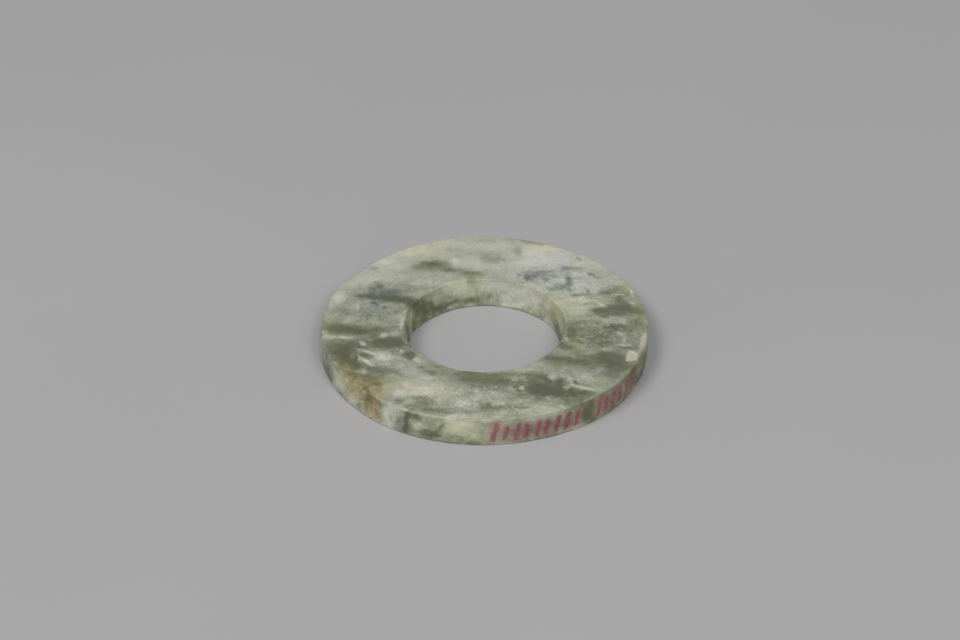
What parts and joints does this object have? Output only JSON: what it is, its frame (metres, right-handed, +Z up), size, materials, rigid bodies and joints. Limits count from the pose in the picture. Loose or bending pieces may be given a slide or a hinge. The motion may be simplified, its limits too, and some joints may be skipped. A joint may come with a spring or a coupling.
{
  "type": "jade bi disc",
  "caption": "Flat hand-ground ring of mottled green nephrite with a wide hole drilled from one face, its edges worn and chipped.",
  "frame": {"origin": "on the surface the disc lies on, under the middle of its outline", "axes": "+Z up through the hole, from the underside to the upper face, towards which the hole widens; +X to the right and +Y away as the disc is first seen, with the brown stain at the front left"},
  "size_m": [0.0766, 0.0766, 0.007],
  "materials": {
    "jade": "ground and softly polished nephrite, mottled dark olive, grey-green and cream, with a brown stain and worn pale edges"
  },
  "bodies": {
    "root": {"bi_disc": "jade"}
  },
  "joints": []
}
